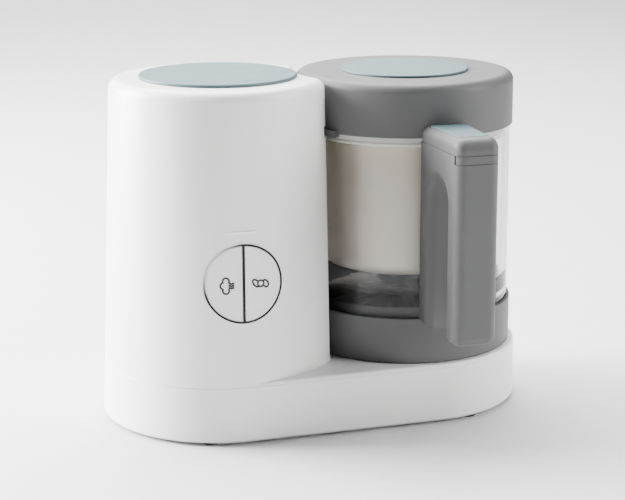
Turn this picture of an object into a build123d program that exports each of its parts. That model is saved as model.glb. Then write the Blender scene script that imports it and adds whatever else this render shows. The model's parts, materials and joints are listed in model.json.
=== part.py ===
"""Baby food maker: a steam cooker and blender in one housing.

A tapered water tower stands at the left of a low base, and a glass jug stands on the base at the
right, nested in a hollow of the tower. Frame: millimetres, origin on the bench under the middle of
the whole object, +X from tower to jug, +Z up. The front, with the buttons and the handle, faces -Y.
The shapes are drawn with both axes at y = 0, and saving moves them back by FRAME_Y.
"""
from build123d import *
from math import asin, cos, pi, radians, sin
import os

os.makedirs("parts", exist_ok=True)

# ---- driving dimensions ------------------------------------------------------------------------
AXIS_SPAN = 135.0              # tower axis to jug axis
BASE_R_TOWER = 82.5            # base outline radius about the tower axis, at the bottom
BASE_R_JUG = 81.0              # base outline radius about the jug axis
FOOT_H = 2.0                   # rubber feet under the tray
SEAM_Z = 39.8                  # joint between the tray and the upper housing
DECK_Z = 42.4                  # top of the platform under the jug
TOWER_TOP = 235.5
TOWER_TAPER = 0.03556          # radius lost per millimetre of height
TOP_FILLET = 7.0
WALL = 2.8
NEST_R = 86.1                  # hollow in the tower about the jug axis, at the platform
NEST_TAPER = 0.030
NEST_FOOT = 4.0                # blend at the foot of the hollow
GLASS_R = 74.8
COLLAR_R = 76.8
COLLAR_TOP = 74.6
LID_R = 76.4
LID_BOTTOM = 198.9
LID_TOP = 234.7
BUTTON_Z = 109.8
BUTTON_TURN = -3.0             # degrees that the button panel is turned from straight ahead
RING_R = 26.5
RUN_FIT = 0.05                 # radial clearance of a shaft in its bush
GRIP_FRONT = -135.0            # front of the handle
GLAND_BACK = 84.6              # back of the cord bushing

TOWER_X = -(AXIS_SPAN + BASE_R_JUG - BASE_R_TOWER) / 2
JUG_X = TOWER_X + AXIS_SPAN
MOTOR_X = TOWER_X - 25.0
BOTTOM = FOOT_H
FRAME_Y = -(GRIP_FRONT + GLAND_BACK) / 2
EPS = 1.0                      # overshoot of a cutting tool past the face that it cuts


# ---- helpers -----------------------------------------------------------------------------------
def rod(x, y, low, high, radius):
    """An upright cylinder between two heights."""
    return Pos(x, y, (low + high) / 2) * Cylinder(radius, high - low)


def tube(x, y, low, high, outer, inner):
    """An upright tube between two heights."""
    return rod(x, y, low, high, outer) - rod(x, y, low - EPS, high + EPS, inner)


def frustum(x, y, low, high, r_low, r_high):
    """An upright cone stump between two heights."""
    return Pos(x, y, (low + high) / 2) * Cone(r_low, r_high, high - low)


def block(x0, x1, y0, y1, z0, z1):
    """A box given by its two corners on each axis."""
    return Pos((x0 + x1) / 2, (y0 + y1) / 2, (z0 + z1) / 2) * Box(x1 - x0, y1 - y0, z1 - z0)


def bar_y(x, z, y0, y1, radius):
    """A round bar that runs along Y."""
    return Pos(x, (y0 + y1) / 2, z) * Rot(90, 0, 0) * Cylinder(radius, y1 - y0)


def bar_x(y, z, x0, x1, radius):
    """A round bar that runs along X."""
    return Pos((x0 + x1) / 2, y, z) * Rot(0, 90, 0) * Cylinder(radius, x1 - x0)


def polar(cx, cy, radius, angle):
    """The point at a radius and an angle in degrees about a centre."""
    return cx + radius * cos(radians(angle)), cy + radius * sin(radians(angle))


def sector(cx, cy, low, high, outer, inner, start, end):
    """A piece of an upright tube between two angles in degrees."""
    middle = (start + end) / 2
    corners = [polar(0, 0, inner, start), polar(0, 0, outer, start)]
    rim = ThreePointArc(corners[1], polar(0, 0, outer, middle), polar(0, 0, outer, end))
    bore = ThreePointArc(polar(0, 0, inner, end), polar(0, 0, inner, middle), corners[0])
    outline = [Line(corners[0], corners[1]), rim, Line(rim @ 1, bore @ 0), bore]
    return Pos(cx, cy, low) * extrude(make_face(outline), high - low)


def save(node, *shapes):
    """Write one sub-part, as one solid or as a group of separate ones."""
    solids = [Pos(0, FRAME_Y, 0) * solid for shape in shapes for solid in shape.solids()]
    export_step(solids[0] if len(solids) == 1 else Compound(children=solids), f"parts/{node}.step")


def tower_r(z):
    """The tower's outer radius at a height."""
    return BASE_R_TOWER - TOWER_TAPER * (z - BOTTOM)


def nest_r(z):
    """The radius of the tower's hollow at a height."""
    return NEST_R - NEST_TAPER * (z - DECK_Z)


def footprint(r_tower, r_jug):
    """The base outline: two circles and the two lines that touch both."""
    lean = asin((r_tower - r_jug) / AXIS_SPAN)
    tower_pt = (TOWER_X + r_tower * sin(lean), r_tower * cos(lean))
    jug_pt = (JUG_X + r_jug * sin(lean), r_jug * cos(lean))
    left = ThreePointArc((tower_pt[0], -tower_pt[1]), (TOWER_X - r_tower, 0), tower_pt)
    right = ThreePointArc(jug_pt, (JUG_X + r_jug, 0), (jug_pt[0], -jug_pt[1]))
    return make_face([left, Line(left @ 1, right @ 0), right, Line(right @ 1, left @ 0)])


def base_block(*levels):
    """The base through levels of (height, inset from the drafted side)."""
    sections = []
    for z, inset in levels:
        draft = TOWER_TAPER * (z - BOTTOM)
        outline = footprint(BASE_R_TOWER - draft - inset, BASE_R_JUG - draft / 3 - inset)
        sections.append(Pos(0, 0, z) * outline)
    return loft(sections, ruled=True)


def rounded_levels(low, high, radius, steps=5):
    """Levels of a base block whose top edge is rounded."""
    turns = [radians(90 * k / steps) for k in range(steps + 1)]
    return [(low, 0)] + [(high - radius + radius * sin(t), radius - radius * cos(t)) for t in turns]


def panel(shape):
    """Turn a shape that is drawn straight ahead of the tower axis to face like the button panel."""
    return Pos(TOWER_X, 0, 0) * Rot(0, 0, BUTTON_TURN) * shape


def skin_band(outside, inside, low=60.0, high=160.0):
    """A layer of the tower's wall, between two depths under its outer surface."""
    outer = frustum(0, 0, low, high, tower_r(low) - outside, tower_r(high) - outside)
    inner = frustum(0, 0, low, high, tower_r(low) - inside, tower_r(high) - inside)
    return outer - inner


def round_plug(radius):
    """A long bar towards the front at the button's height, to cut from the tower's wall layers."""
    return bar_y(0, BUTTON_Z, -90, -40, radius)


# ---- base tray ---------------------------------------------------------------------------------
TRAY_WALL = 2.5
TRAY_FLOOR = 5.0
SCREW_R = 1.6
SCREW_POINTS = [polar(TOWER_X, 0, 74.0, angle) for angle in (130, 230)]
SCREW_POINTS += [(JUG_X + 48, side * 50) for side in (1, -1)]
PILLAR_SPAN = 30.0
PILLAR_TOP = 26.0
PILLARS = [(MOTOR_X + i * PILLAR_SPAN, j * PILLAR_SPAN) for i in (1, -1) for j in (1, -1)]
HEAD_TOP = 10.0                # screw heads sit in counterbores up to here
GLAND_Z = 18.0
GLAND_R = 6.0
CORD_R = 3.5
SEAM_GAP = 0.5                 # groove all round at the joint of tray and housing


def base_tray():
    tray = base_block((BOTTOM, 1.5), (BOTTOM + 1.5, 0), (SEAM_Z - 0.6, 0), (SEAM_Z, SEAM_GAP))
    tray -= base_block((TRAY_FLOOR, TRAY_WALL), (SEAM_Z + EPS, TRAY_WALL))
    for x, y in SCREW_POINTS:
        tray += rod(x, y, TRAY_FLOOR - EPS, SEAM_Z - 10.3, 5.0)
        tray -= rod(x, y, BOTTOM - EPS, SEAM_Z, SCREW_R + 0.2)
        tray -= rod(x, y, BOTTOM - EPS, HEAD_TOP, 3.6)
    for x, y in PILLARS:
        tray += rod(x, y, TRAY_FLOOR - EPS, PILLAR_TOP, 4.0)
    for k in range(-3, 4):
        x = MOTOR_X + 7 * k
        tray -= block(x - 1.5, x + 1.5, -20, 20, BOTTOM - EPS, TRAY_FLOOR + EPS)
    tray -= bar_y(TOWER_X, GLAND_Z, 60, 100, GLAND_R)
    return tray


def base_screws():
    """Self-tapping screws from under the tray into the housing's bosses."""
    heads = [rod(x, y, HEAD_TOP - 2.4, HEAD_TOP, 3.1) for x, y in SCREW_POINTS]
    shanks = [rod(x, y, HEAD_TOP - 1, SEAM_Z + 6, SCREW_R) for x, y in SCREW_POINTS]
    return [head + shank for head, shank in zip(heads, shanks)]


def cord_gland():
    """The rear bushing that the mains lead would pass through."""
    body = bar_y(TOWER_X, GLAND_Z, 77.0, 83.5, GLAND_R - 0.1)
    body += bar_y(TOWER_X, GLAND_Z, 82.3, GLAND_BACK, GLAND_R + 2.5)
    body += bar_y(TOWER_X, GLAND_Z, 74.6, 77.0, GLAND_R + 2)
    return body - bar_y(TOWER_X, GLAND_Z, 60, 100, CORD_R)


feet = [rod(x, y, 0, FOOT_H, 6.0) for x in (-92.0, 92.0) for y in (-68.0, 68.0)]
save("base_tray", base_tray())
save("base_screws", *base_screws())
save("rubber_feet", *feet)
save("cord_gland", cord_gland())

# ---- upper housing: tower and platform in one shell --------------------------------------------
CAP_HOLE_R = 43.0
SPINDLE_HOLE_R = 12.0
NOTCH_Z = (197.0, 204.5)
NOTCH_DEPTH = 2.7
NOTCH_ARC = (-162.0, -140.0)
PIN_X, PIN_Y = polar(JUG_X, 0, 52.0, 120)
OUTLET_Z = 216.0


def tower_housing():
    tower = frustum(TOWER_X, 0, SEAM_Z, TOWER_TOP, tower_r(SEAM_Z), tower_r(TOWER_TOP))
    tower = fillet(tower.faces().sort_by(Axis.Z)[-1].edges(), TOP_FILLET)
    top = TOWER_TOP + 5
    nest = frustum(JUG_X, 0, DECK_Z, top, NEST_R, nest_r(top))
    nest = fillet(nest.faces().sort_by(Axis.Z)[0].edges(), NEST_FOOT)
    tower -= nest
    shell = tower + base_block(*rounded_levels(SEAM_Z, DECK_Z, 1.6))

    roof = TOWER_TOP - 3.2
    inner = frustum(TOWER_X, 0, SEAM_Z - EPS, roof, tower_r(SEAM_Z) - WALL, tower_r(roof) - WALL)
    inner -= frustum(JUG_X, 0, SEAM_Z - 2 * EPS, top, NEST_R + WALL, nest_r(top) + WALL)
    shell -= inner
    for x, y in SCREW_POINTS:
        shell += rod(x, y, SEAM_Z - 10, SEAM_Z + 1.5, 4.6)
    for x, y in SCREW_POINTS[:2]:
        shell += rod(x, y, SEAM_Z, SEAM_Z + 12, 4.6)
    for x, y in SCREW_POINTS:
        shell -= rod(x, y, SEAM_Z - 10 - EPS, SEAM_Z + 6.2, SCREW_R + RUN_FIT)
    shell -= rod(TOWER_X, 0, roof - EPS, TOWER_TOP + EPS, CAP_HOLE_R)
    shell -= rod(JUG_X, 0, SEAM_Z - EPS, DECK_Z + EPS, SPINDLE_HOLE_R)
    shell -= rod(PIN_X, PIN_Y, SEAM_Z - EPS, DECK_Z + EPS, 1.7)
    edge = nest_r(NOTCH_Z[0])
    shell -= sector(JUG_X, 0, NOTCH_Z[0], NOTCH_Z[1], edge + NOTCH_DEPTH, edge - 8, *NOTCH_ARC)
    shell -= bar_x(0, OUTLET_Z, JUG_X - 90, JUG_X - 70, 6.0)
    shell -= panel(round_plug(RING_R + 0.1))
    return shell


save("tower_housing", tower_housing())

# ---- button panel ------------------------------------------------------------------------------
RING_WIDTH = 1.1
DIVIDER = 1.4
BUTTON_GAP = 0.3
STEM_X = 12.0
BOARD_Y = -62.0


def button_ring():
    """The metal ring round the buttons, and the bar between them, as one moulding."""
    ring = (round_plug(RING_R) - round_plug(RING_R - RING_WIDTH)) & skin_band(-0.4, 6.0)
    bar = round_plug(RING_R - RING_WIDTH / 2) & block(-DIVIDER / 2, DIVIDER / 2, -90, -40, 70, 150)
    return panel(ring + (bar & skin_band(-0.3, 6.0)))


def button(side):
    """Half of the round key; its stem presses the switch behind it."""
    reach = RING_R - RING_WIDTH - BUTTON_GAP
    half = round_plug(reach) & skin_band(0.0, 3.2)
    inner, outer = side * (DIVIDER / 2 + BUTTON_GAP), side * 40
    half = half & block(min(inner, outer), max(inner, outer), -90, -40, 70, 150)
    stem = bar_y(side * STEM_X, BUTTON_Z, -76.0, BOARD_Y - 5.6, 2.0)
    return panel(half + stem)


def button_chassis():
    """A shallow cup behind the ring, fixed to the inside of the wall."""
    cup = round_plug(31.5) & skin_band(WALL + 0.2, 8.4)
    cup -= round_plug(29.5) & skin_band(-1, 6.2)
    for side in (1, -1):
        cup -= bar_y(side * STEM_X, BUTTON_Z, -90, -40, 2.6)
    return panel(cup)


def press_switch(x):
    return panel(block(x - 3, x + 3, BOARD_Y - 4, BOARD_Y, BUTTON_Z - 3, BUTTON_Z + 3))


save("button_ring", button_ring())
save("steam_button", button(-1))
save("blend_button", button(1))
save("button_chassis", button_chassis())
save("press_switches", press_switch(-STEM_X), press_switch(STEM_X))
save("control_board", panel(block(-30, 30, BOARD_Y, BOARD_Y + 1.6, 78, 142)))

# ---- water boiler in the tower -----------------------------------------------------------------
TANK_R = 40.0
TANK_WALL = 1.2
TANK_Z = (140.0, 232.3)
CAP_R = 54.0
CAP_Z = (235.7, 237.7)


def boiler_tank():
    """A deep steel cup under the tower's cap, with a rim under the roof and a steam spout."""
    low, high = TANK_Z
    tank = tube(TOWER_X, 0, low, high, TANK_R, TANK_R - TANK_WALL) + rod(TOWER_X, 0, low, low + 1.5, TANK_R)
    tank += tube(TOWER_X, 0, high - 2.5, high, 48.0, TANK_R - TANK_WALL)
    tank += bar_x(0, OUTLET_Z, TOWER_X + TANK_R - 0.6, TOWER_X + TANK_R + 3, 4.0)
    return tank - bar_x(0, OUTLET_Z, TOWER_X + 30, TOWER_X + TANK_R + 5, 2.5)


def heater_plate():
    """The cast plate under the boiler with its ring-shaped heating element."""
    plate = rod(TOWER_X, 0, TANK_Z[0] - 8, TANK_Z[0], 39.0)
    return plate + Pos(TOWER_X, 0, TANK_Z[0] - 9) * Torus(28.0, 4.0)


def steam_outlet():
    """The nozzle in the hollow that meets the lid's steam port."""
    body = bar_x(0, OUTLET_Z, JUG_X - 86.5, JUG_X - LID_R - 0.6, 5.9)
    body += bar_x(0, OUTLET_Z, JUG_X - 88.5, JUG_X - 86.5, 7.5)
    return body - bar_x(0, OUTLET_Z, JUG_X - 95, JUG_X - 60, 2.5)


def tank_cap():
    """The round cap on the tower, with the plug that closes the boiler's mouth."""
    low, high = CAP_Z
    disc = fillet(rod(TOWER_X, 0, low, high, CAP_R).faces().sort_by(Axis.Z)[-1].edges(), 1.2)
    plug = tube(TOWER_X, 0, 218, low + 0.5, 37.5, 34.5) + rod(TOWER_X, 0, 218, 220.5, 37.5)
    groove = tube(TOWER_X, 0, 222.5, 225.5, 38.0, 36.6)
    return disc + plug - groove


save("boiler_tank", boiler_tank())
save("heater_plate", heater_plate())
save("thermostats", rod(TOWER_X - 9, 12, 122, 132, 6.5), rod(TOWER_X + 9, -12, 122, 132, 6.5))
save("steam_tube", bar_x(0, OUTLET_Z, TOWER_X + TANK_R + 3, JUG_X - 88.5, 4.0)
     - bar_x(0, OUTLET_Z, TOWER_X, JUG_X - 60, 2.5))
save("steam_outlet", steam_outlet())
save("tank_cap", tank_cap())
save("tank_seal", tube(TOWER_X, 0, 222.6, 225.4, 38.4, 36.7))

# ---- motor in the tower's foot -----------------------------------------------------------------
SHAFT_R = 3.0
PLATE_Z = (30.0, 33.0)
BRIDGE_Z = (106.0, 109.0)
STACK_Z = (58.0, 88.0)
ROTOR_R = 17.0
POSTS = [(MOTOR_X + i * 27, j * 23) for i in (1, -1) for j in (1, -1)]


def motor_block(half_x, half_y, low, high):
    return block(MOTOR_X - half_x, MOTOR_X + half_x, -half_y, half_y, low, high)


def motor_frame():
    """The lower plate with the four posts that carry the stator."""
    frame = motor_block(36, 36, *PLATE_Z)
    for x, y in POSTS:
        frame += rod(x, y, PLATE_Z[0], BRIDGE_Z[0], 2.5)
    return frame - rod(MOTOR_X, 0, 0, 60, 8.1)


def motor_bridge():
    bridge = motor_block(31, 27, *BRIDGE_Z)
    return bridge - rod(MOTOR_X, 0, 100, 120, 8.1)


def motor_stator():
    stator = motor_block(31, 27, *STACK_Z) - rod(MOTOR_X, 0, 50, 100, ROTOR_R + 0.5)
    for x, y in POSTS:
        stator -= rod(x, y, 50, 100, 2.6)
    return stator


def cooling_fan():
    hub = rod(MOTOR_X, 0, 38, 41, 23) + rod(MOTOR_X, 0, 38, 50, 7)
    for k in range(9):
        hub += Pos(MOTOR_X, 0, 0) * Rot(0, 0, 40 * k) * block(6, 22.5, -0.7, 0.7, 40, 49)
    return hub - rod(MOTOR_X, 0, 30, 60, SHAFT_R)


def coil_ends(low, high):
    return [sector(MOTOR_X, 0, low, high, 27, ROTOR_R + 1.5, mid - 65, mid + 65) for mid in (90, 270)]


save("motor_frame", motor_frame())
save("motor_bridge", motor_bridge())
save("motor_stator", motor_stator())
save("motor_coils", *coil_ends(STACK_Z[1], STACK_Z[1] + 7), *coil_ends(STACK_Z[0] - 7, STACK_Z[0]))
save("motor_bushes", tube(MOTOR_X, 0, 28, 35, 8, SHAFT_R + RUN_FIT),
     tube(MOTOR_X, 0, 104, 111, 8, SHAFT_R + RUN_FIT))
save("brush_holders", block(MOTOR_X - 24, MOTOR_X - 9.6, -4, 4, 97, 106),
     block(MOTOR_X + 9.6, MOTOR_X + 24, -4, 4, 97, 106))
save("motor_mounts", *[rod(x, y, PILLAR_TOP, PLATE_Z[0], 5.5) for x, y in PILLARS])
save("rotor_shaft", rod(MOTOR_X, 0, 9, 116, SHAFT_R))
save("rotor_core", tube(MOTOR_X, 0, *STACK_Z, ROTOR_R, SHAFT_R))
save("commutator", tube(MOTOR_X, 0, 96, 103.5, 9.0, SHAFT_R))
save("cooling_fan", cooling_fan())

# ---- toothed belt to the spindle under the jug -------------------------------------------------
TOOTH_PITCH = 3.0
MOTOR_TEETH = 15
SPINDLE_TEETH = 60
BELT_Z = (12.0, 20.0)
BELT_THICK = 1.6
SPINDLE_R = 4.0


def pulley(x, teeth, bore):
    """A toothed pulley with a flange above and below the belt."""
    radius = teeth * TOOTH_PITCH / (2 * pi)
    low, high = BELT_Z[0] - 0.5, BELT_Z[1] + 0.5
    wheel = rod(x, 0, low, high, radius)
    for k in range(teeth):
        tooth_x, tooth_y = polar(x, 0, radius, 360 * k / teeth)
        wheel -= rod(tooth_x, tooth_y, low - EPS, high + EPS, TOOTH_PITCH / 4)
    wheel += rod(x, 0, low - 1, low, radius + 1.5) + rod(x, 0, high, high + 1, radius + 1.5)
    return wheel - rod(x, 0, 0, 60, bore)


def belt_loop(extra, low, high):
    """The filled outline of the belt's run round both pulleys."""
    near = MOTOR_TEETH * TOOTH_PITCH / (2 * pi) + extra
    far = SPINDLE_TEETH * TOOTH_PITCH / (2 * pi) + extra
    span = JUG_X - MOTOR_X
    lean = asin((far - near) / span)
    near_pt = (MOTOR_X - near * sin(lean), near * cos(lean))
    far_pt = (JUG_X - far * sin(lean), far * cos(lean))
    left = ThreePointArc((near_pt[0], -near_pt[1]), (MOTOR_X - near, 0), near_pt)
    right = ThreePointArc(far_pt, (JUG_X + far, 0), (far_pt[0], -far_pt[1]))
    outline = [left, Line(left @ 1, right @ 0), right, Line(right @ 1, left @ 0)]
    return Pos(0, 0, low) * extrude(make_face(outline), high - low)


belt = belt_loop(0.35 + BELT_THICK, *BELT_Z) - belt_loop(0.35, BELT_Z[0] - EPS, BELT_Z[1] + EPS)
save("drive_belt", belt)
save("motor_pulley", pulley(MOTOR_X, MOTOR_TEETH, SHAFT_R))
save("spindle_pulley", pulley(JUG_X, SPINDLE_TEETH, SPINDLE_R))

# ---- spindle and couplings under the jug -------------------------------------------------------
LUG_ARC = 30.0
COUPLER_Z = (46.0, 54.0)


def spindle_housing():
    """The flanged bearing tube that hangs under the platform."""
    body = rod(JUG_X, 0, 24.0, 44.0, SPINDLE_HOLE_R - 0.1) + rod(JUG_X, 0, SEAM_Z - 3.5, SEAM_Z, 26)
    return body - rod(JUG_X, 0, 20, 50, 8.0)


def drive_coupler():
    """The star on the spindle's end that turns the blade."""
    star = rod(JUG_X, 0, *COUPLER_Z, 7.0)
    for k in range(3):
        middle = 120 * k
        star += sector(JUG_X, 0, *COUPLER_Z, 13.0, 6.0, middle - LUG_ARC / 2, middle + LUG_ARC / 2)
    return star - rod(JUG_X, 0, 40, 52.5, SPINDLE_R)


def blade_dog():
    """The socket under the jug; its three inner lugs sit between the star's."""
    low, high = COUPLER_Z
    cup = tube(JUG_X, 0, low, high + 3.5, 17.0, 13.5) + rod(JUG_X, 0, high + 0.6, high + 3.5, 17.0)
    for k in range(3):
        middle = 60 + 120 * k
        cup += sector(JUG_X, 0, low, high + 1, 14.5, 8.0, middle - LUG_ARC / 2, middle + LUG_ARC / 2)
    return cup - rod(JUG_X, 0, high - EPS, high + 10, SPINDLE_R)


def seat_ring():
    """The turning ring that the jug stands on; a pocket under it lets the interlock pin rise."""
    ring = tube(JUG_X, 0, 42.7, 45.4, 60.0, 44.0)
    ring -= sector(JUG_X, 0, 42, 44.4, 56, 48, 120 - 30, 120 - 1.95)
    for k in range(3):
        middle = 60 + 120 * k
        ring += sector(JUG_X, 0, 44.8, 49.5, 59.4, 54.0, middle - 5, middle + 5)
    return ring


save("spindle_housing", spindle_housing())
save("spindle_bearings", tube(JUG_X, 0, 26, 31, 7.95, SPINDLE_R + RUN_FIT),
     tube(JUG_X, 0, 37, 42, 7.95, SPINDLE_R + RUN_FIT))
save("spindle_shaft", rod(JUG_X, 0, 9, 52.4, SPINDLE_R))
save("drive_coupler", drive_coupler())
save("seat_ring", seat_ring())
save("interlock_pin", rod(PIN_X, PIN_Y, 31.5, 42.4, 1.5))
save("interlock_switch", block(PIN_X - 6.5, PIN_X + 6.5, PIN_Y - 3.2, PIN_Y + 3.2, 21, 31.1))

# ---- glass jug ---------------------------------------------------------------------------------
GLASS_IN = 70.4
GLASS_Z = (70.8, 198.5)
GLASS_FLOOR = (80.6, 87.6)
SKIRT_R = 69.0                 # inside of the glass below its floor
PAD_THICK = 3.6                # rubber pad under the glass floor
PAD_RIM = 2.5                  # its rim, which reaches down inside the glass skirt
LEDGE_Z = 192.0
LEDGE_R = 72.2
COLLAR_Z = (42.7, COLLAR_TOP)
WEB_Z = (60.0, 65.0)
BUSH_R = 12.0


def glass_bowl():
    glass = rod(JUG_X, 0, *GLASS_Z, GLASS_R)
    hollow = rod(JUG_X, 0, GLASS_FLOOR[1], GLASS_Z[1] + EPS, GLASS_IN)
    hollow = fillet(hollow.faces().sort_by(Axis.Z)[0].edges(), 6.0)
    glass -= hollow
    glass -= rod(JUG_X, 0, LEDGE_Z, GLASS_Z[1] + EPS, LEDGE_R)
    glass -= rod(JUG_X, 0, GLASS_Z[0] - EPS, GLASS_FLOOR[0], SKIRT_R)
    return glass - rod(JUG_X, 0, 60, 100, BUSH_R + 0.3)


def jug_collar():
    """The grey base of the jug: outer wall, web with the blade bush's hole, and drive ribs."""
    wall = tube(JUG_X, 0, *COLLAR_Z, COLLAR_R, 72.5)
    outer_edges = wall.edges().filter_by(GeomType.CIRCLE).filter_by(lambda e: e.radius > 76)
    collar = fillet(outer_edges, 0.8)
    collar -= rod(JUG_X, 0, GLASS_Z[0] - 0.1, COLLAR_TOP + EPS, GLASS_R + 0.1)
    collar += tube(JUG_X, 0, *WEB_Z, 74.0, BUSH_R + 0.1)
    for k in range(3):
        for side in (-8.6, 8.6):
            rib = block(53, 73, -1.0, 1.0, 46.5, WEB_Z[0] + 1)
            collar += Pos(JUG_X, 0, 0) * Rot(0, 0, 60 + 120 * k + side) * rib
    return collar


def bowl_gasket():
    """The rubber pad under the glass floor, with its middle sleeve and its outer rim."""
    outer, top = SKIRT_R - 0.5, GLASS_FLOOR[0]
    pad = tube(JUG_X, 0, WEB_Z[1], top, 24.0, BUSH_R + 0.3)
    pad += tube(JUG_X, 0, top - PAD_THICK, top, outer, 23.0)
    return pad + tube(JUG_X, 0, GLASS_Z[0], top, outer, outer - PAD_RIM)


def blade_bush():
    """The flanged bush through the glass floor, with the nut that clamps it under the web."""
    bush = rod(JUG_X, 0, 58.5, 88.2, BUSH_R) + rod(JUG_X, 0, 87.7, 91.5, 19.0)
    bush = chamfer(bush.faces().sort_by(Axis.Z)[-1].edges(), 1.5)
    bush += rod(JUG_X, 0, 58.5, 60, 20.0)
    return bush - rod(JUG_X, 0, 50, 100, SPINDLE_R + RUN_FIT)


save("glass_bowl", glass_bowl())
save("jug_collar", jug_collar())
save("bowl_gasket", bowl_gasket())
save("blade_bush", blade_bush())

# ---- blade -------------------------------------------------------------------------------------
HUB_Z = (92.0, 97.0)
BLADE_Z = (93.2, 95.2)
SHAFT_TOP = 97.6


def chopping_blades():
    """Four curved steel blades: two bent up and two down, clamped in the middle of the hub."""
    blades = rod(JUG_X, 0, *BLADE_Z, 8.0)
    low, high = BLADE_Z[0] + 0.4, BLADE_Z[1] - 0.4
    for k in range(4):
        lift = 3.0 if k % 2 else -2.0
        points = [(5, high), (14, high), (34, high + lift), (34, low + lift), (14, low), (5, low)]
        strip = extrude(Plane.XZ * make_face(Polyline(*points, close=True)), 5.5, both=True)
        outline = rod(14, -26, 85, 105, 36) & rod(16, 21, 85, 105, 36)
        blades += Pos(JUG_X, 0, 0) * Rot(0, 0, 90 * k + 20) * (strip & outline)
    return blades - rod(JUG_X, 0, 80, 110, SPINDLE_R)


save("blade_shaft", rod(JUG_X, 0, COUPLER_Z[1] + 0.6, SHAFT_TOP, SPINDLE_R))
save("blade_hub", tube(JUG_X, 0, HUB_Z[0], BLADE_Z[0], 9.0, SPINDLE_R),
     tube(JUG_X, 0, BLADE_Z[1], HUB_Z[1], 9.0, SPINDLE_R))
save("chopping_blades", chopping_blades())
save("blade_dog", blade_dog())

# ---- steamer basket ----------------------------------------------------------------------------
BASKET_R = 59.0
BASKET_Z = (99.0, 194.2)
BASKET_WALL = 1.0
BASKET_FOOT = 9.0              # rounding at the bottom
HOLE_R = 1.8
HOLE_RINGS = ((1, 0.0), (6, 11.0), (12, 22.0), (18, 33.0), (24, 44.0))


def steam_basket():
    low, high = BASKET_Z
    outside = rod(JUG_X, 0, low, high, BASKET_R)
    outside = fillet(outside.faces().sort_by(Axis.Z)[0].edges(), BASKET_FOOT)
    inside = rod(JUG_X, 0, low + BASKET_WALL, high + EPS, BASKET_R - BASKET_WALL)
    inside = fillet(inside.faces().sort_by(Axis.Z)[0].edges(), BASKET_FOOT - BASKET_WALL)
    basket = outside + rod(JUG_X, 0, LEDGE_Z + 0.2, high, LEDGE_R - 0.5)
    basket -= inside
    for count, ring_radius in HOLE_RINGS:
        for k in range(count):
            x, y = polar(JUG_X, 0, ring_radius, 360 * k / count)
            basket -= rod(x, y, low - EPS, low + BASKET_WALL + EPS, HOLE_R)
    return basket


save("steam_basket", steam_basket())

# ---- lid ---------------------------------------------------------------------------------------
LID_WALL = 2.6
LID_DISC_R = 44.85
LID_DISC_Z = (235.0, 236.4)
LINER_Z = (199.0, 201.4)
STOPPER_R = 20.0
LUG_Z = (196.9, 200.9)
LUG_R = 79.9
LUG_ARC_LID = (-156.0, -145.4)
PLUG_R = 68.0


def lid_shell():
    shell = fillet(rod(JUG_X, 0, LID_BOTTOM, LID_TOP, LID_R).faces().sort_by(Axis.Z)[-1].edges(), 6.0)
    cavity = rod(JUG_X, 0, LID_BOTTOM - EPS, LID_TOP - LID_WALL, LID_R - LID_WALL)
    shell -= fillet(cavity.faces().sort_by(Axis.Z)[-1].edges(), 3.5)
    shell -= rod(JUG_X, 0, LID_TOP - 10, LID_TOP + EPS, STOPPER_R)
    shell += sector(JUG_X, 0, *LUG_Z, LUG_R, LID_R - 1.0, *LUG_ARC_LID)
    return shell - bar_x(0, OUTLET_Z, JUG_X - 90, JUG_X - 60, 4.0)


def lid_liner():
    """The inner floor of the lid and the spigot that carries the gasket."""
    liner = tube(JUG_X, 0, *LINER_Z, LID_R - LID_WALL - 0.1, 6.0)
    return liner + tube(JUG_X, 0, LINER_Z[0] - 4.2, LINER_Z[0] + 0.5, PLUG_R, PLUG_R - 2.5)


def lid_steam_port():
    """The elbow inside the lid that takes the steam down through the liner."""
    drop = JUG_X - 62
    port = bar_x(0, OUTLET_Z, JUG_X - 75.5, drop, 3.9) + rod(drop, 0, LINER_Z[1], OUTLET_Z + 3.9, 4.5)
    return port - bar_x(0, OUTLET_Z, JUG_X - 80, drop, 2.4) - rod(drop, 0, 190, OUTLET_Z, 2.4)


def lid_cap():
    """The round disc on the lid and its hollow stopper."""
    disc = fillet(rod(JUG_X, 0, *LID_DISC_Z, LID_DISC_R).faces().sort_by(Axis.Z)[-1].edges(), 0.9)
    stem = STOPPER_R - 0.4
    return disc + tube(JUG_X, 0, 214, LID_DISC_Z[0] + 0.4, stem, stem - 2) + rod(JUG_X, 0, 214, 216, stem)


save("lid_shell", lid_shell())
save("lid_liner", lid_liner())
save("lid_gasket", tube(JUG_X, 0, 194.6, 198.9, LEDGE_R - 0.6, PLUG_R))
save("lid_steam_port", lid_steam_port())
save("lid_cap", lid_cap())

# ---- handle ------------------------------------------------------------------------------------
HANDLE_X = JUG_X + 1.5         # the handle sits a little to the right of the jug's middle
GRIP_HALF = 15.0
PLATE_HALF = 16.0
EDGE_R = 6.5                   # rounding of the handle's long edges
SEAM_DEPTH = 0.5
SEAM_WIDTH = 0.6
NOTCH_CUT = 1.3                # depth of the short upright part of the seam
GRIP_BACK = -116.0
BACK_LIMIT = -64.0             # the handle's block before the glass is cut out of it
PLATE_FRONT = -86.5
HANDLE_TOP = 208.0
HANDLE_LOW = 70.0
ARCH_TOP = 176.5
CAP_SEAM = 197.0
BAND_SEAM = 191.6
LOW_R = 7.0                    # rounding of the grip's lower end
TOP_R = 8.0                    # rounding of the handle's front top edge
PAD_TOP = 208.3
PAD_DEPTH = 3.0
PAD_TRAVEL = 2.0
PAD_FIT = 0.3                  # gap round the pad
STEM_Y = -106.0
NOTCH_Y = -129.6               # back end of the seam that runs round the grip's front
BOLT_Z = (198.7, 201.5)


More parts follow.
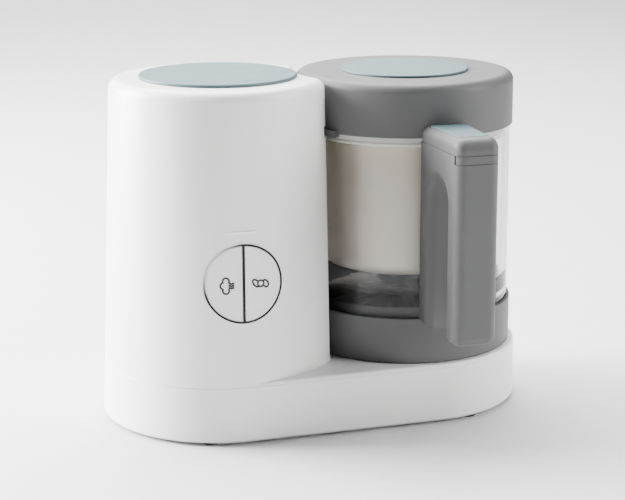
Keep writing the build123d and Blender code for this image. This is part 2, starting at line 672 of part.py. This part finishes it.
def pad_outline(grow):
    """The pad's plan: wide at the lid and narrower towards the front."""
    back, front = -78.6 + grow, -125.0 - grow
    points = [(-12.5 - grow, back), (12.5 + grow, back), (10.3 + grow, front), (-10.3 - grow, front)]
    return Pos(HANDLE_X, 0, 0) * fillet(make_face(Polyline(*points, close=True)).vertices(), 2.5)


def half_width(y):
    """Half the handle's width, which grows a little towards the glass."""
    return GRIP_HALF + (PLATE_HALF - GRIP_HALF) * (y - GRIP_FRONT) / (PLATE_FRONT - GRIP_FRONT)


def grip_plan(inset, low, high):
    """An upright block with the handle's plan, set in by the same amount on its sides and front."""
    front = GRIP_FRONT + inset
    side_front, side_back = half_width(front) - inset, half_width(BACK_LIMIT) - inset
    corners = [(-side_back, BACK_LIMIT), (side_back, BACK_LIMIT), (side_front, front), (-side_front, front)]
    return Pos(HANDLE_X, 0, low) * extrude(make_face(Polyline(*corners, close=True)), high - low)


def handle_form():
    """The whole handle: an arch from the glass over to a grip that hangs free."""
    arch_r = (PLATE_FRONT - GRIP_BACK) / 2
    arch_y, arch_z = (PLATE_FRONT + GRIP_BACK) / 2, ARCH_TOP - arch_r
    profile = Polyline((PLATE_FRONT, HANDLE_LOW), (PLATE_FRONT, arch_z))
    over = ThreePointArc((PLATE_FRONT, arch_z), (arch_y, ARCH_TOP), (GRIP_BACK, arch_z))
    rest = Polyline((GRIP_BACK, arch_z), (GRIP_BACK, HANDLE_LOW), (GRIP_FRONT, HANDLE_LOW),
                    (GRIP_FRONT, HANDLE_TOP), (BACK_LIMIT, HANDLE_TOP), (BACK_LIMIT, HANDLE_LOW),
                    (PLATE_FRONT, HANDLE_LOW))
    side = make_face(profile + over + rest)
    corners = [v for v in side.vertices() if v.Y < HANDLE_LOW + 1 and v.X < GRIP_BACK + 1]
    side = fillet(corners, LOW_R)
    side = fillet([v for v in side.vertices() if v.Y > HANDLE_TOP - 1 and v.X < GRIP_BACK], TOP_R)
    form = Pos(HANDLE_X, 0, 0) * extrude(Plane.YZ * side, 30, both=True)
    form = form & grip_plan(0, HANDLE_LOW - EPS, HANDLE_TOP + EPS)
    sides = [face for face in form.faces() if abs(face.normal_at().X) > 0.9]
    form = fillet([edge for face in sides for edge in face.edges()], EDGE_R)
    form -= rod(JUG_X, 0, 40, 230, GLASS_R + 0.3)
    form -= rod(JUG_X, 0, LID_BOTTOM - 2, 230, LID_R + 0.6)
    return form - rod(JUG_X, 0, 40, COLLAR_TOP + 0.4, COLLAR_R + 0.2)


def seam_core(depth):
    """What stays of the grip inside a seam of some depth."""
    core = grip_plan(depth, 180, 200)
    return fillet(core.edges().filter_by(Axis.Z).group_by(Axis.Y)[0], EDGE_R - depth)


def above(z):
    """Everything of the handle above a height."""
    return block(HANDLE_X - 40, HANDLE_X + 40, -150, -60, z, 230)


handle = handle_form()
handle_body = handle - above(CAP_SEAM)
band_low, band_high = BAND_SEAM - SEAM_WIDTH / 2, BAND_SEAM + SEAM_WIDTH / 2
groove = block(HANDLE_X - 40, HANDLE_X + 40, -150, NOTCH_Y, band_low, band_high)
notch = block(HANDLE_X - 40, HANDLE_X, NOTCH_Y - 1.4, NOTCH_Y, band_low, CAP_SEAM + EPS)
handle_body -= (groove - seam_core(SEAM_DEPTH)) + (notch - seam_core(NOTCH_CUT))
handle_cap = handle & above(CAP_SEAM + 0.3)
handle_cap -= Pos(0, 0, PAD_TOP - PAD_DEPTH - PAD_TRAVEL - 0.4) * extrude(pad_outline(PAD_FIT), 20)
handle_cap -= rod(HANDLE_X, STEM_Y, 190, 205, 3.3) + rod(HANDLE_X, STEM_Y, CAP_SEAM, 202.9, 5.2)
handle_cap -= block(HANDLE_X - 4.4, HANDLE_X + 4.4, -96, -70, CAP_SEAM, BOLT_Z[1] + 0.3)
handle_body -= rod(HANDLE_X, STEM_Y, 192.5, 200, 3.3)

pad = Pos(0, 0, PAD_TOP - PAD_DEPTH) * extrude(pad_outline(0), PAD_DEPTH)
pad = fillet(pad.faces().sort_by(Axis.Z)[-1].edges(), 0.6)
pad += rod(HANDLE_X, STEM_Y, 195, PAD_TOP - 2.5, 3.0)
save("handle_body", handle_body)
save("handle_cap", handle_cap)
save("handle_bond", sector(JUG_X, 0, 82, 172, GLASS_R + 0.28, GLASS_R + 0.02, -100, -80))
save("release_pad", pad)
save("latch_bolt", block(HANDLE_X - 4, HANDLE_X + 4, -93, -77.4, *BOLT_Z))

SPRING_R = 4.2
WIRE_R = 0.4
coil = Pos(HANDLE_X, STEM_Y, CAP_SEAM + 0.6) * Helix(pitch=1.5, height=4.5, radius=SPRING_R)
spring = sweep(Plane(origin=coil @ 0, z_dir=coil % 0) * Circle(WIRE_R), path=coil)
save("release_spring", spring)
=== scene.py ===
"""The looks of the baby food maker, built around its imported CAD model. Units are metres."""
import json
from math import acos, atan2, cos, degrees, pi, radians, sin

import bmesh
import bpy
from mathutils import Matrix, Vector


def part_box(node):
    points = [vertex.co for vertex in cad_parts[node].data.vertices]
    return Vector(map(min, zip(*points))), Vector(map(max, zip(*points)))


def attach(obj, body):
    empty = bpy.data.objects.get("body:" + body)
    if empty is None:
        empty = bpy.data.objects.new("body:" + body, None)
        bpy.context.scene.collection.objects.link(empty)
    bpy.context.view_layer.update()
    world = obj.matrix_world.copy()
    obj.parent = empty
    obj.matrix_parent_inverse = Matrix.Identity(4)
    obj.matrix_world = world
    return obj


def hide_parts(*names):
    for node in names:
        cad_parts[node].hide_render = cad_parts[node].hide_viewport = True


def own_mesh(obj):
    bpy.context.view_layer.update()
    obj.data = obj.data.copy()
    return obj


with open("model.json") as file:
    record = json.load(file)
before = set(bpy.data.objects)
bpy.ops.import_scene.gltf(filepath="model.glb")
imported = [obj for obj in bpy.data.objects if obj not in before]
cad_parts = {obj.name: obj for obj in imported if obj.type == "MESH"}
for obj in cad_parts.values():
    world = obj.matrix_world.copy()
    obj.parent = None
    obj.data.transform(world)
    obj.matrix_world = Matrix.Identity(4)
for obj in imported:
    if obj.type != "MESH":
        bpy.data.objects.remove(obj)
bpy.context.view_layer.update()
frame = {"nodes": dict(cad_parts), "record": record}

NODES = frame["nodes"]
SLOT_OF = {entry["node"]: entry["material_slot"] for entry in frame["record"]["subparts"]}
MM = 0.001


def centre_of(node):
    """The middle of a CAD node's box."""
    low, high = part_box(node)
    return (low + high) / 2


TOWER = centre_of("tank_cap")
BUTTON = centre_of("button_ring")

# ---- camera, floor and light -------------------------------------------------------------------
CAMERA_PLACE = (-0.36187, -1.12820, 0.41189)
CAMERA_YAW = -17.45          # degrees from looking along +Y
CAMERA_PITCH = -12.0
CAMERA_LENS = 101.58
CAMERA_SENSOR = 36.0
CAMERA_SHIFT_Y = -0.1026

WORLD_STRENGTH = 0.08
FLOOR_HALF = 6.0
FLOOR_TONE = 0.60
SOFTBOXES = {                # where it stands, what it points at, its width and height, and its watts
    "top_softbox": ((0.0, 0.75, 1.8), (0.0, 0.05, 0.1), (2.0, 1.5), 150),
    "left_softbox": ((-1.35, 0.75, 0.60), (0.0, 0.0, 0.12), (0.9, 1.3), 270),
    "right_softbox": ((1.45, -0.80, 0.75), (0.0, 0.0, 0.12), (0.7, 1.3), 42),
    "floor_softbox": ((-0.2, 3.2, 2.2), (-0.2, 2.6, 0.0), (3.5, 2.0), 230),
}


def show(name, data):
    """A new object in the scene."""
    shown = bpy.data.objects.new(name, data)
    bpy.context.scene.collection.objects.link(shown)
    return shown


def add_camera():
    data = bpy.data.cameras.new("camera")
    data.lens, data.sensor_width, data.shift_y = CAMERA_LENS, CAMERA_SENSOR, CAMERA_SHIFT_Y
    camera = show("camera", data)
    camera.location = CAMERA_PLACE
    camera.rotation_euler = (radians(90 + CAMERA_PITCH), 0, radians(CAMERA_YAW))
    bpy.context.scene.camera = camera


def add_softbox(name, place, aim, size, watts):
    data = bpy.data.lights.new(name, "AREA")
    data.shape, data.size, data.size_y, data.energy = "RECTANGLE", size[0], size[1], watts
    light = show(name, data)
    light.location = place
    light.rotation_euler = (Vector(aim) - Vector(place)).to_track_quat("-Z", "Y").to_euler()


def add_world():
    world = bpy.data.worlds.new("studio")
    world.use_nodes = True
    background = world.node_tree.nodes["Background"]
    background.inputs["Color"].default_value = (1.0, 1.0, 1.0, 1)
    background.inputs["Strength"].default_value = WORLD_STRENGTH
    bpy.context.scene.world = world


def add_floor():
    mesh = bpy.data.meshes.new("studio_floor")
    corners = [(x * FLOOR_HALF, y * FLOOR_HALF, 0) for x, y in ((-1, -1), (1, -1), (1, 1), (-1, 1))]
    mesh.from_pydata(corners, [], [(0, 1, 2, 3)])
    mesh.materials.append(moulded("studio_white", (FLOOR_TONE,) * 3, 0.7, 400.0, 0.02 * MM, 0.005))
    show("studio_floor", mesh)


# ---- material recipes --------------------------------------------------------------------------
class Finish:
    """A procedural material: a principled shader with noise in its colour, roughness and bump."""

    def __init__(self, name, color, roughness, **sockets):
        self.material = bpy.data.materials.new(name)
        self.material.use_nodes = True
        self.tree = self.material.node_tree
        self.shader = self.tree.nodes["Principled BSDF"]
        self.shader.inputs["Base Color"].default_value = (*color, 1)
        self.shader.inputs["Roughness"].default_value = roughness
        for socket, value in sockets.items():
            self.shader.inputs[socket.replace("_", " ")].default_value = value
        self.coords = self.tree.nodes.new("ShaderNodeTexCoord")

    def node(self, kind, **settings):
        """A node of this kind. A setting's name is a socket's, with _ for a space, or an attribute's."""
        made = self.tree.nodes.new("ShaderNode" + kind)
        for key, value in settings.items():
            socket = key.replace("_", " ")
            if socket in made.inputs:
                made.inputs[socket].default_value = value
            else:
                setattr(made, key, value)
        return made

    def link(self, source, target):
        self.tree.links.new(source, target)

    def noise(self, scale, stretch=(1, 1, 1), detail=3.0):
        """Noise in object coordinates; stretch makes streaks."""
        mapping = self.node("Mapping", Scale=stretch)
        texture = self.node("TexNoise", Scale=scale, Detail=detail, Roughness=0.55)
        self.link(self.coords.outputs["Object"], mapping.inputs["Vector"])
        self.link(mapping.outputs["Vector"], texture.inputs["Vector"])
        return texture.outputs["Fac"]

    def vary_color(self, first, second, source):
        mix = self.node("Mix", data_type="RGBA")
        mix.inputs["A"].default_value, mix.inputs["B"].default_value = (*first, 1), (*second, 1)
        self.link(source, mix.inputs["Factor"])
        self.link(mix.outputs["Result"], self.shader.inputs["Base Color"])

    def vary_roughness(self, source, low, high):
        """Roughness that follows a noise, from low to high."""
        mapped = self.node("MapRange", From_Min=0.25, From_Max=0.75, To_Min=low, To_Max=high)
        self.link(source, mapped.inputs["Value"])
        self.link(mapped.outputs["Result"], self.shader.inputs["Roughness"])

    def bump(self, source, strength, distance):
        """Surface relief; distance is in metres."""
        relief = self.node("Bump", Strength=strength, Distance=distance)
        self.link(source, relief.inputs["Height"])
        self.link(relief.outputs["Normal"], self.shader.inputs["Normal"])


def moulded(name, color, roughness, grain=2600.0, depth=0.02 * MM, tone=0.03, **sockets):
    """Injection-moulded plastic: a fine spark-eroded grain and a slow drift of tone and gloss."""
    finish = Finish(name, color, roughness, **sockets)
    darker = tuple(c * (1 - tone) for c in color)
    lighter = tuple(min(1.0, c * (1 + tone)) for c in color)
    drift = finish.noise(9.0, detail=2.0)
    gloss = finish.noise(60.0, detail=4.0)
    spark = finish.noise(grain, detail=2.0)
    finish.vary_color(darker, lighter, drift)
    finish.vary_roughness(gloss, roughness * 0.9, roughness * 1.12)
    finish.bump(spark, 0.35, depth)
    return finish.material


def brushed(name, color, roughness, stretch, scale=900.0, depth=0.01 * MM, metallic=1.0):
    """Ground or drawn metal with streaks along one direction."""
    finish = Finish(name, color, roughness, Metallic=metallic)
    streaks = finish.noise(scale, stretch, detail=4.0)
    darker = tuple(c * 0.93 for c in color)
    finish.vary_color(darker, color, streaks)
    finish.vary_roughness(streaks, roughness * 0.8, roughness * 1.2)
    finish.bump(streaks, 0.25, depth)
    return finish.material


def basket_steel(name):
    """Satin steel with a warm cast, with a painted highlight at its rim and painted light that makes it
    paler towards its foot.
    """
    cast_and_painted_light_tones = {0.0: (1.0, 0.91, 0.82), 0.25: (0.98, 0.88, 0.77), 0.9: (0.86, 0.76, 0.63),
             0.945: (0.86, 0.76, 0.63), 0.96: (0.98, 0.94, 0.86)}      # by share of the height
    finish = Finish(name, cast_and_painted_light_tones[0.9], 0.5, Metallic=0.32)
    low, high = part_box("steam_basket")
    split = finish.node("SeparateXYZ")
    share = finish.node("MapRange", From_Min=low.z, From_Max=high.z)
    # The ramp paints light: a painted highlight at the rim and paler painted light towards the foot; the
    # warm cast is the steel's own.
    ramp = finish.node("ValToRGB")
    finish.link(finish.coords.outputs["Object"], split.inputs["Vector"])
    finish.link(split.outputs["Z"], share.inputs["Value"])
    finish.link(share.outputs["Result"], ramp.inputs["Fac"])
    finish.link(ramp.outputs["Color"], finish.shader.inputs["Base Color"])
    stops = ramp.color_ramp.elements
    while len(stops) < len(cast_and_painted_light_tones):
        stops.new(0.5)
    for stop, (place, tone) in zip(stops, cast_and_painted_light_tones.items()):
        stop.position, stop.color = place, (*tone, 1)
    streaks = finish.noise(300.0, (1, 1, 22), detail=4.0)
    finish.vary_roughness(streaks, 0.42, 0.56)
    finish.bump(streaks, 0.25, 0.01 * MM)
    return finish.material


def trim_with_painted_highlight(name):
    """Polished dark chrome with a painted highlight that makes it lighter towards the upper left of the
    button.
    """
    dark, light = (0.022,) * 3, (0.40,) * 3
    highlight_lean = Vector((-0.8, 0.0, 0.6))
    highlight_start, highlight_end = 15 * MM, 27 * MM                 # from the button's middle, along the lean
    finish = Finish(name, dark, 0.16, Metallic=1.0)
    reach = finish.node("VectorMath", operation="DOT_PRODUCT")
    reach.inputs[1].default_value = highlight_lean
    middle = highlight_lean.x * BUTTON.x + highlight_lean.z * BUTTON.z
    # Painted highlight: the colour fades from dark to light towards the button's upper left.
    painted_highlight_fade = finish.node("MapRange", interpolation_type="SMOOTHSTEP",
                       From_Min=middle + highlight_start, From_Max=middle + highlight_end)
    finish.link(finish.coords.outputs["Object"], reach.inputs[0])
    finish.link(reach.outputs["Value"], painted_highlight_fade.inputs["Value"])
    finish.vary_color(dark, light, painted_highlight_fade.outputs["Result"])
    finish.vary_roughness(finish.noise(500.0, (1, 1, 8)), 0.12, 0.2)
    return finish.material


def clear_glass(name):
    """Pressed clear glass, a little wavy, that turns grey where it is looked through lengthwise."""
    finish = Finish(name, (0.97, 0.975, 0.97), 0.0, Transmission_Weight=1.0, IOR=1.3)
    inside = finish.node("VolumeAbsorption", Color=(0.0, 0.0, 0.0, 1), Density=38.0)
    finish.link(inside.outputs["Volume"], finish.tree.nodes["Material Output"].inputs["Volume"])
    flow_lines = finish.noise(140.0, (1, 1, 0.06), detail=1.0)
    finish.bump(flow_lines, 0.25, 0.4 * MM)
    finish.vary_roughness(finish.noise(300.0), 0.0, 0.012)
    return finish.material


def silicone(name):
    """Soft cream rubber that lets a little light in."""
    finish = Finish(name, (0.85, 0.83, 0.78), 0.38, Subsurface_Weight=0.3, Subsurface_Scale=2 * MM)
    finish.vary_color((0.82, 0.80, 0.75), (0.88, 0.86, 0.81), finish.noise(30.0))
    finish.bump(finish.noise(900.0), 0.2, 0.03 * MM)
    return finish.material


def copper_wire(name):
    """Windings: fine round strands side by side under a coat of enamel."""
    finish = Finish(name, (0.56, 0.22, 0.09), 0.32, Metallic=0.85, Coat_Weight=0.6)
    wave = finish.node("TexWave", Scale=420.0, Distortion=0.6)
    finish.link(finish.coords.outputs["Object"], wave.inputs["Vector"])
    finish.vary_color((0.36, 0.13, 0.05), (0.66, 0.28, 0.12), wave.outputs["Fac"])
    finish.bump(wave.outputs["Fac"], 0.8, 0.25 * MM)
    return finish.material


# ---- the materials, by slot --------------------------------------------------------------------
WHITE = (0.80, 0.80, 0.79)
GREY = (0.088, 0.088, 0.089)
PALE_BLUE = (0.055, 0.103, 0.113)
MATERIALS = {
    "white_shell": moulded("white_shell", WHITE, 0.34, tone=0.01, Coat_Weight=0.15, Coat_Roughness=0.2),
    "grey_plastic": moulded("grey_plastic", GREY, 0.5, Specular_IOR_Level=0.25),
    "pale_plastic": moulded("pale_plastic", PALE_BLUE, 0.5, tone=0.02, Specular_IOR_Level=0.4),
    "dark_plastic": moulded("dark_plastic", (0.018, 0.018, 0.02), 0.42, tone=0.12),
    "bright_trim": trim_with_painted_highlight("bright_trim"),
    "glass": clear_glass("glass"),
    "basket_steel": basket_steel("basket_steel"),
    "blade_steel": brushed("blade_steel", (0.72, 0.72, 0.73), 0.18, (1, 9, 9), 700.0),
    "tank_steel": brushed("tank_steel", (0.66, 0.66, 0.66), 0.25, (1, 1, 12)),
    "seal_silicone": silicone("seal_silicone"),
    "black_rubber": moulded("black_rubber", (0.016, 0.016, 0.016), 0.75, 1400.0, 0.05 * MM, 0.2),
    "machine_steel": brushed("machine_steel", (0.50, 0.50, 0.51), 0.28, (1, 1, 16)),
    "laminations": brushed("laminations", (0.10, 0.10, 0.105), 0.45, (1, 1, 60), 200.0, 0.05 * MM, 0.7),
    "copper": copper_wire("copper"),
    "bush_bronze": brushed("bush_bronze", (0.48, 0.30, 0.12), 0.35, (1, 1, 4)),
    "cast_aluminium": moulded("cast_aluminium", (0.55, 0.55, 0.56), 0.42, 900.0, 0.06 * MM, 0.06,
                              Metallic=1.0),
    "board_green": moulded("board_green", (0.01, 0.075, 0.022), 0.35, tone=0.15),
}
# A whiter material than the wall for the accent line: a painted highlight along its lit top.
PAINTED_HIGHLIGHT_WHITE = moulded("painted_highlight_white", (1.0, 1.0, 0.98), 0.2, tone=0.0)


# ---- pieces ------------------------------------------------------------------------------------
SHARP_EDGE = radians(32)


def shade(mesh):
    """Smooth shading, with sharp edges kept crisp."""
    mesh.shade_smooth()
    mesh.set_sharp_from_angle(angle=SHARP_EDGE)


def finish_cad_nodes():
    """Every CAD node gets its slot's material and smooth shading."""
    for name, node in NODES.items():
        node.data.materials.clear()
        node.data.materials.append(MATERIALS[SLOT_OF[name]])
        shade(node.data)


def make_piece(name, mesh, body, slot, *replaced, material=None):
    """Put a mesh on show: material, smooth shading, the body that it rides on and what it replaces."""
    mesh.materials.clear()
    mesh.materials.append(material or MATERIALS[slot])
    shade(mesh)
    piece = show(name, mesh)
    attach(piece, body)
    if replaced:
        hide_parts(*replaced)
    return piece


def add_spring():
    """The spring under the release pad, which stands in the handle. The piece rides on the jug at one
    length and does not shorten as the pad goes down.
    """
    mesh = NODES["release_spring"].data.copy()
    mesh.transform(NODES["release_spring"].matrix_world)
    coil = make_piece("release_spring_coil", mesh, "jug", "machine_steel", "release_spring")
    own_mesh(coil)


# ---- prints on the tower, in millimetres about the button's middle ------------------------------
PANEL_TURN = radians(-3)     # how far the button's panel faces to the left of straight ahead
TOWER_FOOT_R = 82.5 * MM
TOWER_TAPER = 0.03556        # loss of radius for each unit of height
FOOT_HEIGHT = 2.0 * MM
ICON_LINE = 1.3
ICON_HEIGHT = 0.14
PRINT_ROOT = 0.12            # how deep a printed line is rooted in the wall
ACCENT_LINE = 0.9
ACCENT_HEIGHT = 0.6
ACCENT_HALF = 9.0
ACCENT_RISE = 34.4


def on_tower(u, z, lift):
    """The point on the tower's front, u round to the right of the button's middle and z above it."""
    level = BUTTON.z + z * MM
    radius = TOWER_FOOT_R - TOWER_TAPER * (level - FOOT_HEIGHT)
    turn = PANEL_TURN - pi / 2 + u * MM / radius
    reach = radius + lift * MM
    return (TOWER.x + reach * cos(turn), TOWER.y + reach * sin(turn), level)


def arc(u, z, radius, start, end, steps=18):
    """Points of an arc, with its angles in degrees."""
    turns = [radians(start + (end - start) * k / steps) for k in range(steps + 1)]
    return [(u + radius * cos(t), z + radius * sin(t)) for t in turns]


def curve(points, steps=5):
    """A smooth line through the points, ends included."""
    ends = [points[0], *points, points[-1]]
    path = []
    for a, b, c, d in zip(ends, ends[1:], ends[2:], ends[3:]):
        for k in range(steps):
            t = k / steps
            path.append(tuple(0.5 * (2 * q + (r - p) * t + (2 * p - 5 * q + 4 * r - s) * t * t
                                     + (3 * q - p - 3 * r + s) * t ** 3) for p, q, r, s in zip(a, b, c, d)))
    return path + [points[-1]]


def lobes(circles, first, last):
    """The outer outline of a chain of circles of (u, z, radius), from one angle to another."""
    path, start = [], first
    for (u, z, radius), (next_u, next_z, next_radius) in zip(circles, circles[1:]):
        away = Vector((next_u - u, next_z - z))
        heading, gap = degrees(atan2(away.y, away.x)) % 360, away.length
        here = degrees(acos((gap ** 2 + radius ** 2 - next_radius ** 2) / (2 * gap * radius)))
        there = degrees(acos((gap ** 2 + next_radius ** 2 - radius ** 2) / (2 * gap * next_radius)))
        path += arc(u, z, radius, start, heading - here)
        start = heading - 180 + there
    return path + arc(*circles[-1], start, last)


def ribbon(work, path, width, height, closed):
    """A raised line along a path of (u, z) points."""
    section = ((1, -PRINT_ROOT), (1, height), (-1, height), (-1, -PRINT_ROOT))      # side and lift
    count = len(path)
    rows = []
    for i, (u, z) in enumerate(path):
        before = path[i - 1] if (i or closed) else path[i]
        after = path[(i + 1) % count] if (i < count - 1 or closed) else path[i]
        along = Vector((after[0] - before[0], after[1] - before[1])).normalized()
        side = Vector((-along.y, along.x)) * (width / 2)
        rows.append([work.verts.new(on_tower(u + side.x * sign, z + side.y * sign, lift))
                     for sign, lift in section])
    for a, b in zip(rows, rows[1:] + rows[:1] if closed else rows[1:]):
        for k in range(4):
            n = (k + 1) % 4
            work.faces.new((a[k], a[n], b[n], b[k]))
    if not closed:
        work.faces.new(rows[0])
        work.faces.new(rows[-1][::-1])


def add_print(name, body, slot, lines, width, height, closed=False, material=None):
    """Raised lines on the tower or on a key, as one piece."""
    work = bmesh.new()
    for path in lines:
        ribbon(work, path, width, height, closed)
    bmesh.ops.recalc_face_normals(work, faces=work.faces)
    mesh = bpy.data.meshes.new(name)
    work.to_mesh(mesh)
    work.free()
    make_piece(name, mesh, body, slot, material=material)


def add_steam_icon():
    """A cloud of three lobes, with three waves that leave it."""
    cloud = lobes([(-11.9, 2.4, 2.1), (-13.3, -0.8, 2.3), (-11.9, -4.0, 2.1)], -40, 400)
    start, step, swing, turn = -10.3, 0.39, 0.16, 0.9       # turn is in radians for each step
    waves = [[(start + step * k, level + swing * sin(turn * k)) for k in range(11)]
             for level in (0.7, -0.8, -2.3)]
    add_print("steam_icon", "steam_key", "dark_plastic", [cloud] + waves, ICON_LINE, ICON_HEIGHT)


def add_food_icon():
    """A round piece of food between two slices."""
    middle_u, middle_z, ring_radius = 11.45, -0.4, 2.1
    left = [(-1.3, 1.6), (-2.9, 2.2), (-4.1, 2.9), (-5.4, 2.5), (-5.6, 1.4), (-4.9, -0.3),
            (-3.6, -1.6), (-2.2, -2.1), (-1.2, -1.7)]
    right = [(1.3, 1.6), (2.8, 2.1), (4.3, 1.4), (5.2, 0.0), (5.4, -1.4), (4.6, -2.5),
             (3.5, -2.7), (2.6, -2.0), (1.4, -1.6)]
    slices = [curve([(middle_u + u, middle_z + z) for u, z in outline]) for outline in (left, right)]
    ring = arc(middle_u, middle_z, ring_radius, 0, 360, 28)[:-1]
    add_print("food_icon_round", "blend_key", "dark_plastic", [ring], ICON_LINE, ICON_HEIGHT, closed=True)
    add_print("food_icon_sides", "blend_key", "dark_plastic", slices, ICON_LINE, ICON_HEIGHT)


def add_accent_line():
    """A short raised line in the wall above the button, whiter than the wall as a painted highlight."""
    line = [(ACCENT_HALF * k / 3, ACCENT_RISE) for k in range(-3, 4)]
    add_print("accent_line", "root", "white_shell", [line], ACCENT_LINE, ACCENT_HEIGHT,
              material=PAINTED_HIGHLIGHT_WHITE)


add_camera()
add_world()
add_floor()
for softbox, settings in SOFTBOXES.items():
    add_softbox(softbox, *settings)
finish_cad_nodes()
add_steam_icon()
add_food_icon()
add_accent_line()
add_spring()
